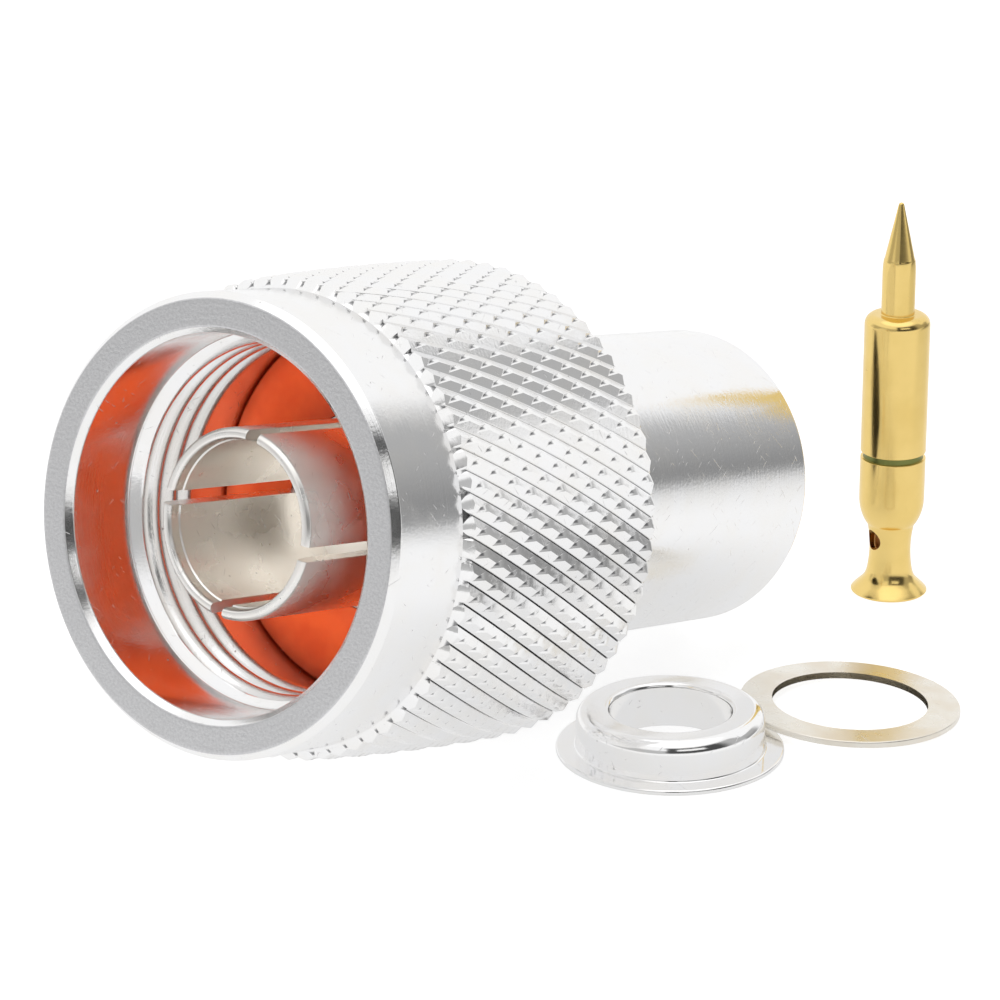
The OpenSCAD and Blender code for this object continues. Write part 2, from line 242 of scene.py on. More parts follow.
def mixColours(tree, share, first, second):
    ends = [(*colour, 1) if isinstance(colour, tuple) else colour for colour in (first, second)]
    return addNode(tree, "ShaderNodeMix", {"data_type": "RGBA"}, i0=share, i6=ends[0], i7=ends[1]).outputs[2]


def noise(tree, place, scale, detail, settings=None, **inputs):
    return addNode(tree, "ShaderNodeTexNoise", settings, Vector=place, Scale=scale, Detail=detail,
                   **inputs).outputs[0]


def bumpNode(tree, height, strength, depth, normal=None, invert=False):
    # depth in millimetres
    bump = addNode(tree, "ShaderNodeBump", {"invert": invert}, Strength=strength, Distance=depth * mm, Height=height)
    if normal is not None:
        tree.links.new(normal, bump.inputs["Normal"])
    return bump.outputs[0]


def splitPlace(tree, place):
    return addNode(tree, "ShaderNodeSeparateXYZ", i0=place).outputs


def newGroup(name, inputs, outputs):
    tree = bpy.data.node_groups.new(name, "ShaderNodeTree")
    for socketName, kind, value in inputs:
        socket = tree.interface.new_socket(name=socketName, in_out="INPUT", socket_type=kind)
        if value is not None:
            socket.default_value = value
    for socketName, kind in outputs:
        tree.interface.new_socket(name=socketName, in_out="OUTPUT", socket_type=kind)
    given = tree.nodes.new("NodeGroupInput").outputs
    return tree, given, tree.nodes.new("NodeGroupOutput").inputs


latheLook = {
    "driftScale": 0.25, "ringRoughness": 0.7, "patchScale": 0.6, "grainScale": 7.0,
    "ringShare": 0.6, "grainShare": 0.4,
}


def buildLatheMarks():
    # fine rings round the turning axis, as a height from 0 to 1; they vary a little round the piece
    look = latheLook
    tree, given, result = newGroup("latheMarks", [
        ("Place", "NodeSocketVector", None), ("Rings", "NodeSocketFloat", 9.0), ("Wander", "NodeSocketFloat", 0.03),
    ], [("Height", "NodeSocketFloat"), ("Patches", "NodeSocketFloat")])
    x, y, z = splitPlace(tree, given["Place"])
    across = mathNode(tree, "SQRT", mathNode(tree, "ADD", multiply(tree, x, x), multiply(tree, y, y)))
    shift = multiply(tree, noise(tree, given["Place"], look["driftScale"], 2.0), given["Wander"])
    spot = addNode(tree, "ShaderNodeCombineXYZ", None,
                   X=mathNode(tree, "ADD", across, shift), Y=mathNode(tree, "ADD", z, shift)).outputs[0]
    rings = noise(tree, spot, given["Rings"], 4.0, {"noise_dimensions": "2D"}, Roughness=look["ringRoughness"])
    grain = noise(tree, given["Place"], look["grainScale"], 2.0)
    height = mathNode(tree, "ADD", multiply(tree, rings, look["ringShare"]),
                      multiply(tree, grain, look["grainShare"]))
    tree.links.new(height, result["Height"])
    tree.links.new(noise(tree, given["Place"], look["patchScale"], 3.0), result["Patches"])
    return tree


scratchLook = {
    "turnsAndSeeds": ((0.35, 3.1), (1.2, 7.7), (-0.8, 12.3)), "bend": 2.2, "bendScale": 0.35,
    "lineSpan": (0.992, 1.0), "breakScale": 2.2, "keepStart": 0.75, "keepEnd": 0.78, "amountEffect": 0.25,
}


def buildScratches():
    # thin broken lines in three directions, 1 on a scratch and 0 beside it
    look = scratchLook
    tree, given, result = newGroup("scratches", [
        ("Place", "NodeSocketVector", None), ("Spacing", "NodeSocketFloat", 1.0), ("Amount", "NodeSocketFloat", 0.4),
    ], [("Mask", "NodeSocketFloat")])
    lines = []
    for turn, seed in look["turnsAndSeeds"]:
        turned = addNode(tree, "ShaderNodeMapping", None, Vector=given["Place"], Location=(seed, seed * 0.7, 0),
                         Rotation=(turn, turn * 0.6, turn * 1.7)).outputs[0]
        wave = addNode(tree, "ShaderNodeTexWave", {"wave_type": "BANDS", "bands_direction": "X"}, Vector=turned,
                       Scale=given["Spacing"], Distortion=look["bend"], Detail=2.0, Detail_Scale=look["bendScale"])
        line = mapRange(tree, wave.outputs["Fac"], look["lineSpan"])
        breaks = noise(tree, turned, multiply(tree, given["Spacing"], look["breakScale"]), 1.0)
        keepStart = mathNode(tree, "SUBTRACT", look["keepStart"],
                             multiply(tree, given["Amount"], look["amountEffect"]))
        lines.append(multiply(tree, line, mapRange(tree, breaks, (keepStart, look["keepEnd"]))))
    total = mathNode(tree, "ADD", mathNode(tree, "ADD", lines[0], lines[1]), lines[2], clamp=True)
    tree.links.new(total, result["Mask"])
    return tree


nickLook = {"rarity": 4.0, "edge": 0.015, "smallest": 0.004}


def buildNicks():
    # small pits and specks of random size, 1 in a pit
    tree, given, result = newGroup("nicks", [
        ("Place", "NodeSocketVector", None), ("Density", "NodeSocketFloat", 1.2), ("Size", "NodeSocketFloat", 0.1),
    ], [("Mask", "NodeSocketFloat")])
    cells = addNode(tree, "ShaderNodeTexVoronoi", None, Vector=given["Place"], Scale=given["Density"])
    chance = addNode(tree, "ShaderNodeSeparateColor", None, i0=cells.outputs["Color"]).outputs[0]
    reach = multiply(tree, mathNode(tree, "POWER", chance, nickLook["rarity"]), given["Size"])
    edge = mathNode(tree, "ADD", reach, nickLook["edge"])
    mask = inverse(tree, mapRange(tree, cells.outputs["Distance"], (reach, edge)))
    largeEnough = mathNode(tree, "GREATER_THAN", reach, nickLook["smallest"])
    tree.links.new(multiply(tree, mask, largeEnough), result["Mask"])
    return tree


latheMarks = buildLatheMarks()
scratches = buildScratches()
nicks = buildNicks()
print("effect groups built")


def newMaterial(name):
    material = bpy.data.materials.new(name)
    material.use_nodes = True
    tree = material.node_tree
    return material, tree, tree.nodes["Principled BSDF"]


def connect(tree, shader, **sockets):
    for name, socket in sockets.items():
        tree.links.new(socket, shader.inputs[name.replace("_", " ")])


def alignedPlace(tree, spot, turn):
    # the piece's own millimetres, with its turning axis on Z
    place = addNode(tree, "ShaderNodeTexCoord").outputs["Object"]
    return addNode(tree, "ShaderNodeMapping", {"vector_type": "TEXTURE"}, Vector=place, Location=spot, Rotation=turn,
                   Scale=(mm, mm, mm)).outputs[0]


def useGroup(tree, group, **inputs):
    return addNode(tree, "ShaderNodeGroup", {"node_tree": group}, **inputs).outputs


platingLook = {
    "patchSpan": (0.35, 0.7), "tintSpan": (0.3, 0.75), "scratchRough": 0.4, "nickRough": 0.3, "markShare": 0.35,
    "rippleDepth": 0.02, "dentStrength": 0.4, "dentDepth": 0.015, "satinEdge": 0.02, "speckleScale": 8.0,
    "speckleRoughness": 0.65, "speckleSpan": (0.35, 0.65), "speckleStrength": 0.6, "speckleDepth": 0.03,
    "creaseSpan": (0.4, 0.8), "grooveShadeEdge": 0.01, "grooveShadeRough": 0.15, "boreEdge": (0.75, 0.78), "boreEnd": (6.3, 6.4),
}


def platedMetal(name, spot, turn, finish):
    look = platingLook
    material, tree, shader = newMaterial(name)
    local = alignedPlace(tree, spot, turn)
    height = splitPlace(tree, local)[2]
    lathe = useGroup(tree, latheMarks, Place=local, Rings=finish["rings"], Wander=finish["wander"])
    lines = useGroup(tree, scratches, Place=local, Spacing=finish["scratchSpacing"],
                     Amount=finish["scratchAmount"])[0]
    pits = useGroup(tree, nicks, Place=local, Density=finish["nickDensity"], Size=finish["nickSize"])[0]
    rough = mapRange(tree, lathe["Patches"], look["patchSpan"], *finish["roughness"])
    rough = mathNode(tree, "ADD", rough, multiply(tree, lines, look["scratchRough"]))
    rough = mathNode(tree, "ADD", rough, multiply(tree, pits, look["nickRough"]), clamp=True)
    tintShare = mapRange(tree, lathe["Patches"], look["tintSpan"])
    tint = mixColours(tree, tintShare, finish["colour"], finish["warmColour"])
    marks = mathNode(tree, "MAXIMUM", lines, pits)
    colour = mixColours(tree, multiply(tree, marks, look["markShare"]), tint, finish["markColour"])
    ripple = bumpNode(tree, lathe["Height"], finish["ringStrength"], look["rippleDepth"])
    normal = bumpNode(tree, marks, look["dentStrength"], look["dentDepth"], ripple, invert=True)
    if "satinDepth" in finish:
        # the mating face is a duller grey than the turned walls
        depth = finish["satinDepth"]
        satin = falling(tree, height, (depth, depth + look["satinEdge"]))
        rough = mathNode(tree, "ADD", rough, multiply(tree, satin, finish["satinRoughness"]))
        speckle = noise(tree, local, look["speckleScale"], 4.0, Roughness=look["speckleRoughness"])
        speckleShare = mapRange(tree, speckle, look["speckleSpan"])
        dull = mixColours(tree, speckleShare, finish["satinColour"], finish["satinShade"])
        colour = mixColours(tree, satin, colour, dull)
        strength = multiply(tree, satin, look["speckleStrength"])
        normal = bumpNode(tree, speckle, strength, look["speckleDepth"], normal)
    if "creaseColour" in finish:
        # painted shade: the bottoms of the knurl's creases and notches are painted dark
        crease = addNode(tree, "ShaderNodeAttribute", {"attribute_name": "crease"}).outputs["Fac"]
        colour = mixColours(tree, mapRange(tree, crease, look["creaseSpan"]), colour, finish["creaseColour"])
    if "stainHeights" in finish:
        # painted shade: a dark olive band is painted round the groove, from one height to the other, in place of the
        # groove's dark reflection; the band is also rougher
        low, high = finish["stainHeights"]
        stain = multiply(tree, mapRange(tree, height, (low - look["grooveShadeEdge"], low)),
                         falling(tree, height, (high, high + look["grooveShadeEdge"])))
        colour = mixColours(tree, stain, colour, finish["stainColour"])
        rough = mathNode(tree, "ADD", rough, multiply(tree, stain, look["grooveShadeRough"]))
    shader.inputs["Metallic"].default_value = 1.0
    if "boreColour" in finish:
        # the solder bore is dull inside
        flat = addNode(tree, "ShaderNodeVectorMath", {"operation": "MULTIPLY"}, i0=local, i1=(1, 1, 0)).outputs[0]
        across = addNode(tree, "ShaderNodeVectorMath", {"operation": "LENGTH"}, i0=flat).outputs["Value"]
        inside = multiply(tree, falling(tree, across, look["boreEdge"]), falling(tree, height, look["boreEnd"]))
        colour = mixColours(tree, inside, colour, finish["boreColour"])
        connect(tree, shader, Metallic=inverse(tree, inside))
    connect(tree, shader, Base_Color=colour, Roughness=rough, Normal=normal)
    return material


silverFinish = {
    "colour": (0.96, 0.96, 0.965), "warmColour": (0.965, 0.955, 0.94), "markColour": (0.45, 0.44, 0.43),
    "roughness": (0.12, 0.2), "rings": 6.0, "wander": 0.05, "ringStrength": 0.25,
    "scratchSpacing": 0.8, "scratchAmount": 0.5, "nickDensity": 2.0, "nickSize": 0.1,
}


def finishLike(base, **changes):
    return {**base, **changes}


# Coupling nut: a turned core with the thread inside, and a diamond knurl round it

couplingNut = {
    "bandRadius": 9.75, "bandEnd": 4.6, "bandSlope": 0.25, "faceChamfer": 0.32, "mouthRadius": 8.0,
    "mouthChamfer": 0.3, "mouthEnd": 3.75, "threadCrest": 7.47, "threadDepth": 0.42, "grooveShare": 0.4,
    "threadStart": 0.378, "leadSlope": 1.6, "threadEnd": 7.53, "threadPitch": 1.058, "threadLoops": 84,
    "mouthStep": 0.02, "runOut": 0.01, "reliefRadius": 8.3, "shoulder": 12.98, "lipRadius": 7.03, "lipChamfer": 0.3,
    "lipRounding": 0.05, "length": 16.9, "edgeRounding": 0.06, "smoothAngle": 30,
}
knurling = {
    "crestRadius": 10.7, "end": 16.65, "rows": 12, "count": 68, "taper": 0.45,
    "slopeDepth": 0.18, "creaseDepth": 0.1, "creaseShare": 0.05, "notchDepth": 0.13,
    "notchFront": 0.3, "notchRear": 0.17, "rearChamfer": 0.38,
}


def threadRadius(angle, station):
    # each turn of the thread opens behind its crest, then closes again in a flatter flank
    size = couplingNut
    phase = (station / size["threadPitch"] - angle / (2 * math.pi) - size["threadStart"]) % 1.0
    opening = min(phase / size["grooveShare"], (1 - phase) / (1 - size["grooveShare"]))
    return size["threadCrest"] + size["threadDepth"] * (1 - math.cos(math.pi * opening)) / 2


def cutThread(piece):
    size = couplingNut
    start, end = size["mouthEnd"], size["threadEnd"]
    for vertex in piece.data.vertices:
        across = math.hypot(vertex.co.x, vertex.co.y)
        if start - hair < vertex.co.z < end + hair and across < size["mouthRadius"] + closeTo:
            angle = math.atan2(vertex.co.y, vertex.co.x)
            leadIn = size["mouthRadius"] - (vertex.co.z - start) * size["leadSlope"]
            radius = max(threadRadius(angle, vertex.co.z), leadIn)
            vertex.co.x *= radius / across
            vertex.co.y *= radius / across


def makeNutCore():
    size = couplingNut
    band, length, lip, relief = size["bandRadius"], size["length"], size["lipRadius"], size["reliefRadius"]
    mouth, start, end, loops = size["mouthRadius"], size["mouthEnd"], size["threadEnd"], size["threadLoops"]
    outline = [(lip + size["lipChamfer"], length), (lip, length - size["lipChamfer"]), (lip, size["shoulder"]),
               (relief, size["shoulder"]), (relief, end + size["runOut"])]
    outline += [(size["threadCrest"], end + (start - end) * step / loops) for step in range(loops + 1)]
    outline += [(mouth, start - size["mouthStep"]), (mouth, size["mouthChamfer"]), (mouth + size["mouthChamfer"], 0),
                (band - size["faceChamfer"], 0), (band, size["faceChamfer"]),
                (band, size["bandEnd"] - size["bandSlope"])]
    rounding = [(size["edgeRounding"], outline[-6:-1]), (size["lipRounding"], outline[0:2])]
    piece = turnPiece("couplingNut", outline, rounding, closed=False)
    cutThread(piece)
    return piece


def grooveDepth(across, along):
    # a long ridge slopes down to a thin crease on each side, and short notches cut its crest
    size, half = knurling, 0.5
    depth = size["slopeDepth"] * abs(across) / half
    crease = (abs(across) - half) / size["creaseShare"] + 1
    notch = size["notchDepth"] * (1 - min((half - along) / size["notchFront"], (half + along) / size["notchRear"]))
    return max(depth + size["creaseDepth"] * max(crease, 0.0), notch)


def makeKnurl():
    size, half = knurling, 0.5
    start, stop, length, count = couplingNut["bandEnd"], size["end"], couplingNut["length"], size["count"]
    halfTurn = math.pi / count
    halfLength = (stop - start) / size["rows"]
    # one diamond: a grid whose lines fall on the ridge, the creases and the notch
    creaseStart = half - size["creaseShare"]
    notchFront, notchRear = half - size["notchFront"], size["notchRear"] - half
    notchReach = half * size["notchDepth"] / size["slopeDepth"]
    acrossLines = [-half, -creaseStart, -notchReach, 0.0, notchReach, creaseStart, half]
    alongLines = [-half, notchRear, notchFront, half]
    columns, rows = len(acrossLines) - 1, len(alongLines) - 1
    bpy.ops.object.select_all(action="DESELECT")
    bpy.ops.mesh.primitive_grid_add(x_subdivisions=columns, y_subdivisions=rows, size=1)
    piece = bpy.context.object
    piece.name = piece.data.name = "knurl"
    for vertex in piece.data.vertices:
        column, row = round((vertex.co.x + half) * columns), round((vertex.co.y + half) * rows)
        vertex.co.x, vertex.co.y = acrossLines[column], alongLines[row]
    for side in (-1, 1):
        for notchSide, notchEnd in ((notchFront, half), (notchRear, -half)):
            def onDiagonal(vertex):
                spot = (round(vertex.co.x * side, 4), round(vertex.co.y, 4))
                return spot in ((0.0, round(notchSide, 4)), (round(notchReach, 4), notchEnd))
            editWith(piece, "VERT", onDiagonal)
            bpy.ops.mesh.vert_connect()
            leaveEdit()
    # this attribute marks where painted shade goes: the knurl's creases and the ends of its ridges
    crease = piece.data.attributes.new("crease", "FLOAT", "POINT")
    for vertex in piece.data.vertices:
        across, along = vertex.co.x, vertex.co.y
        onRidge, atEnd = abs(across) < closeTo, abs(along) > half - closeTo
        inCrease = abs(across) > half - closeTo or onRidge and atEnd
        crease.data[vertex.index].value = 1.0 if inCrease else 0.0
        radius = size["crestRadius"] - grooveDepth(across, along)
        angle = math.pi / 2 + (across - along) * halfTurn
        station = (along + across) * halfLength
        vertex.co = (radius * math.cos(angle), radius * math.sin(angle), start - station)
    # a ring of diamonds, then a second ring half a diamond on, then pairs of rings along the nut
    editWith(piece, "VERT", lambda vertex: True)
    bpy.ops.mesh.spin(steps=count - 1, dupli=True, angle=2 * math.pi * (count - 1) / count, center=(0, 0, 0),
                      axis=(0, 0, 1))
    bpy.ops.mesh.select_all(action="SELECT")
    bpy.ops.mesh.duplicate_move(TRANSFORM_OT_translate={"value": (0, 0, halfLength)})
    bpy.ops.transform.rotate(value=halfTurn, orient_axis="Z", center_override=(0, 0, 0))
    bpy.ops.mesh.select_all(action="SELECT")
    for _ in range(size["rows"] // 2):
        bpy.ops.mesh.duplicate_move(TRANSFORM_OT_translate={"value": (0, 0, 2 * halfLength)})
    bpy.ops.mesh.select_all(action="SELECT")
    bpy.ops.mesh.remove_doubles(threshold=closeTo)
    # square ends, and a loop where the rear chamfer starts
    for station, cutBefore, cutBehind in ((start, True, False), (stop, False, False), (length, False, True)):
        bpy.ops.mesh.select_all(action="SELECT")
        bpy.ops.mesh.bisect(plane_co=(0, 0, station), plane_no=(0, 0, 1), use_fill=False,
                            clear_inner=cutBefore, clear_outer=cutBehind, threshold=hair)
    leaveEdit()
    for vertex in piece.data.vertices:
        across = math.hypot(vertex.co.x, vertex.co.y)
        left = max((stop - vertex.co.z) / (stop - start), 0.0)
        slimmer = 1 - size["taper"] * left ** 2 / across
        vertex.co.x *= slimmer
        vertex.co.y *= slimmer
        if vertex.co.z > stop + hair:
            piece.data.attributes["crease"].data[vertex.index].value = 0.0
            across = math.hypot(vertex.co.x, vertex.co.y)
            limit = size["crestRadius"] - (vertex.co.z - stop) / (length - stop) * size["rearChamfer"]
            if across > limit:
                vertex.co.x *= limit / across
                vertex.co.y *= limit / across
    return piece


def makeCouplingNut():
    core, knurl = makeNutCore(), makeKnurl()
    pickOnly(core)
    knurl.select_set(True)
    bpy.ops.object.join()
    bandEnd, length = couplingNut["bandEnd"], couplingNut["length"]
    # the open edges of the two parts are closed with faces, behind the band and at the rear
    for low, high in ((bandEnd - couplingNut["bandSlope"], bandEnd), (length, length)):
        edgeUse = {}
        for face in core.data.polygons:
            for key in face.edge_keys:
                edgeUse[key] = edgeUse.get(key, 0) + 1
        spots = core.data.vertices
        editWith(core, "EDGE", lambda edge: edgeUse.get(edge.key) == 1 and all(
            low - 2 * closeTo < spots[corner].co.z < high + 2 * closeTo for corner in edge.vertices))
        bpy.ops.mesh.fill(use_beauty=True)
        leaveEdit()
    editWith(core, "VERT", lambda vertex: True)
    bpy.ops.mesh.normals_make_consistent(inside=False)
    leaveEdit()
    smoothShading(core, couplingNut["smoothAngle"])
    layOnPlug(core)
    return core


# the nut's plating has painted shade in the knurl's creases
nutPlating = platedMetal("nutPlating", faceCentre, plugTurn, finishLike(
    silverFinish, satinDepth=0.03, satinRoughness=0.2, satinColour=(0.72, 0.72, 0.73), satinShade=(0.63, 0.63, 0.64),
    creaseColour=(0.28, 0.28, 0.285), ringStrength=0.35))
nutPiece = makeCouplingNut()
dress(nutPiece, nutPlating, "nut", "nut_plating", "coupling_nut")
print("coupling nut made:", len(nutPiece.data.polygons), "faces")


# Body: flange and tube

bodySize = {
    "flangeFront": 11.6, "flangeBack": 12.9, "flangeRadius": 8.1, "tubeRadius": 6.93, "cavityRadius": 5.4,
    "frontBore": 4.43, "frontWall": 14.2, "length": 34.5, "edge": 0.15,
    "rimRounding": 0.09, "flangeRounding": 0.1, "smoothAngle": 40,
}


def makeBody():
    size = bodySize
    tube, cavity, bore, flange = size["tubeRadius"], size["cavityRadius"], size["frontBore"], size["flangeRadius"]
    front, back, wall, length, edge = [size[key] for key in (
        "flangeFront", "flangeBack", "frontWall", "length", "edge")]
    outline = [(bore, front), (flange, front), (flange, back), (tube, back), (tube, length - edge),
               (tube - edge, length), (cavity + edge, length), (cavity, length - edge), (cavity, wall), (bore, wall)]
    rounding = [(size["rimRounding"], outline[4:8]), (size["flangeRounding"], outline[1:3])]
    piece = turnPiece("plugBody", outline, rounding)
    smoothShading(piece, size["smoothAngle"])
    layOnPlug(piece)
    return piece


bodyPlating = platedMetal("bodyPlating", faceCentre, plugTurn, finishLike(
    silverFinish, roughness=(0.1, 0.17), markColour=(0.85, 0.85, 0.84), ringStrength=0.5, scratchAmount=0.8,
    nickDensity=2.8, nickSize=0.12))
bodyPiece = makeBody()
dress(bodyPiece, bodyPlating, "plug", "body_plating", "connector_body")
print("body made")


# Outer contact: slotted sleeve

sleeve = {
    "front": 1.4, "outer": 4.05, "bore": 3.5, "edge": 0.16, "rootFront": 10.4, "rootRadius": 4.4,
    "seatRadius": 3.7, "insulatorFront": 11.0, "collarFront": 14.2, "collarBack": 15.4, "collarRadius": 5.37,
    "slotWidth": 0.62, "slotStart": 0.0, "slotEnd": 10.0, "slotTurns": (6, 96), "cutterReach": 12,
    "mouthStep": 2.05, "mouthRelief": 0.06, "lipRounding": 0.06, "slotRounding": 0.035, "slotAngle": 50,
    "steps": 144, "smoothAngle": 35,
}


def makeSleeve():
    size = sleeve
    bore, outer, front, edge, seat = size["bore"], size["outer"], size["front"], size["edge"], size["seatRadius"]
    root, collar, collarFront, collarBack = [size[key] for key in (
        "rootRadius", "collarRadius", "collarFront", "collarBack")]
    step, relief = size["mouthStep"], size["mouthRelief"]
    outline = [(bore + edge, front), (outer - edge, front), (outer, front + edge), (outer, size["rootFront"]),
               (root, size["rootFront"]), (root, collarFront), (collar, collarFront), (collar, collarBack),
               (seat, collarBack), (seat, size["insulatorFront"]), (bore, size["insulatorFront"]), (bore, step),
               (bore + relief, step - relief), (bore + relief, front + edge)]
    rounding = [(size["lipRounding"], outline[0:3] + outline[-1:])]
    piece = turnPiece("contactSleeve", outline, rounding, steps=size["steps"])
    for turn in size["slotTurns"]:
        cutSlot(piece, size["slotWidth"], size["cutterReach"], size["slotStart"], size["slotEnd"], turn)
    softenEdges(piece, size["slotRounding"], size["slotAngle"])
    smoothShading(piece, size["smoothAngle"])
    layOnPlug(piece)
    return piece


contactPlating = platedMetal("contactPlating", faceCentre, plugTurn, finishLike(
    silverFinish, roughness=(0.26, 0.34), colour=(0.95, 0.935, 0.91), warmColour=(0.95, 0.92, 0.88)))
sleevePiece = makeSleeve()
dress(sleevePiece, contactPlating, "plug", "contact_plating", "outer_contact")
print("contact sleeve made")


# Mating gasket and cable gasket

gaskets = {
    "mating": {"inner": 4.43, "outer": 8.24, "front": 10.4, "back": 11.6, "rounding": 0.18},
    "cable": {"inner": 3.7, "outer": 5.37, "front": 22.3, "back": 26.3, "rounding": 0.3},
    "smoothAngle": 60,
}


def makeRing(name, inner, outer, front, back, rounding):
    outline = [(inner, front), (outer, front), (outer, back), (inner, back)]
    piece = turnPiece(name, outline, [(rounding, outline)])
    smoothShading(piece, gaskets["smoothAngle"])
    layOnPlug(piece)
    return piece


rubberLook = {
    "cloudScale": 0.5, "grainScale": 9.0, "tintSpan": (0.35, 0.7), "roughSpan": (0.3, 0.7),
    "bump": 0.3, "bumpDepth": 0.02,
}


def softRubber(name, colour, deepColour, roughness):
    look = rubberLook
    material, tree, shader = newMaterial(name)
    local = alignedPlace(tree, faceCentre, plugTurn)
    cloud = noise(tree, local, look["cloudScale"], 3.0)
    grain = noise(tree, local, look["grainScale"], 3.0)
    connect(tree, shader, Base_Color=mixColours(tree, mapRange(tree, cloud, look["tintSpan"]), colour, deepColour),
            Roughness=mapRange(tree, cloud, look["roughSpan"], *roughness),
            Normal=bumpNode(tree, grain, look["bump"], look["bumpDepth"]))
    return material, shader


siliconeLook = {
    "Subsurface Weight": 0.15, "Subsurface Radius": (0.002, 0.0008, 0.0004), "Subsurface Scale": 1.0,
}
siliconeOrange, siliconeShader = softRubber("siliconeOrange", (0.8, 0.115, 0.03), (0.7, 0.085, 0.022), (0.3, 0.42))
for socketName, value in siliconeLook.items():
    siliconeShader.inputs[socketName].default_value = value
gasketPiece = makeRing("matingGasket", **gaskets["mating"])
dress(gasketPiece, siliconeOrange, "plug", "silicone", "mating_gasket")
blackRubber = softRubber("blackRubber", (0.025, 0.025, 0.026), (0.04, 0.039, 0.038), (0.5, 0.65))[0]
cableRing = makeRing("cableGasket", **gaskets["cable"])
dress(cableRing, blackRubber, "plug", "black_rubber", "cable_gasket")
print("gaskets made")


# Insulator and clamp nut

insulatorSize = {
    "front": 11.0, "hole": 1.605, "noseRadius": 3.67, "step": 15.4, "flangeRadius": 5.37, "back": 18.4,
    "rounding": 0.12, "steps": 128, "smoothAngle": 60,
}
clampNutSize = {
    "front": 26.3, "back": 34.3, "hole": 3.9, "outer": 5.37, "edge": 0.15, "lip": 0.3, "slotWidth": 1.6,
    "slotDepth": 1.2, "cutterReach": 16, "cutterHeight": 4, "rounding": 0.08, "steps": 144, "smoothAngle": 35,
}


def makeInsulator():
    size = insulatorSize
    hole, nose, flange = size["hole"], size["noseRadius"], size["flangeRadius"]
    outline = [(hole, size["front"]), (nose, size["front"]), (nose, size["step"]),
               (flange, size["step"]), (flange, size["back"]), (hole, size["back"])]
    rounding = [(size["rounding"], outline[0:2] + outline[4:6])]
    piece = turnPiece("pinInsulator", outline, rounding, steps=size["steps"])
    smoothShading(piece, size["smoothAngle"])
    layOnPlug(piece)
    return piece


def makeClampNut():
    size = clampNutSize
    hole, outer, front, back, edge, lip = [size[key] for key in ("hole", "outer", "front", "back", "edge", "lip")]
    outline = [(hole, front), (outer, front), (outer, back - edge), (outer - edge, back), (hole + lip, back),
               (hole, back - lip)]
    piece = turnPiece("clampNut", outline, [(size["rounding"], outline[2:6])], steps=size["steps"])
    slotFloor = back - size["slotDepth"]
    cutSlot(piece, size["slotWidth"], size["cutterReach"], slotFloor, slotFloor + size["cutterHeight"])
    smoothShading(piece, size["smoothAngle"])
    layOnPlug(piece)
    return piece


ptfeWhite = softRubber("ptfeWhite", (0.86, 0.81, 0.73), (0.82, 0.76, 0.68), (0.35, 0.5))[0]
insulatorPiece = makeInsulator()
dress(insulatorPiece, ptfeWhite, "plug", "ptfe", "insulator")
clampPlating = platedMetal("clampPlating", faceCentre, plugTurn, finishLike(silverFinish, roughness=(0.2, 0.3)))
clampNutPiece = makeClampNut()
dress(clampNutPiece, clampPlating, "plug", "clamp_plating", "clamp_nut")
springMetal = platedMetal("springMetal", faceCentre, plugTurn, finishLike(
    silverFinish, colour=(0.7, 0.55, 0.32), warmColour=(0.66, 0.5, 0.28)))
ringNode = frame["nodes"]["retaining_ring"]
ringNode.data.materials.clear()
ringNode.data.materials.append(springMetal)
print("insulator and clamp nut made")


# Pin

pinSize = {
    "footRadius": 1.84, "footRim": 0.1, "footEdge": 0.05, "footHeight": 0.98, "neckRadius": 1.13, "neckStep": 0.01,
    "footCurve": [(1.72, 0.24), (1.5, 0.45), (1.32, 0.63), (1.21, 0.78)], "waistRadius": 1.0, "waistSteps": 10,
    "bodyRadius": 1.575, "bodyStart": 4.85, "domeLength": 1.4, "domeAngle": 310, "domeSteps": 14,
    "grooveHeight": 7.05, "grooveWidth": 0.32, "grooveDepth": 0.14, "grooveRounding": 0.03,
    "shoulder": 14.1, "shoulderRounding": 0.5, "tipRadius": 0.8, "tipRounding": 0.05, "tipCurve": 0.8,
    "coneStart": 16.85, "coneRadius": 0.72, "length": 19.6, "nose": 0.14, "bore": 0.725, "boreDepth": 6.2,
    "holeRadius": 0.5, "holeHeight": 2.75, "holeTurn": -114, "cutterReach": 4, "cutterSides": 64,
    "steps": 96, "smoothAngle": 38,
}


def arcPoints(centre, width, height, start, end, count):
    angles = [math.radians(start + (end - start) * step / count) for step in range(count + 1)]
    return [(centre[0] + width * math.cos(angle), centre[1] + height * math.sin(angle)) for angle in angles]


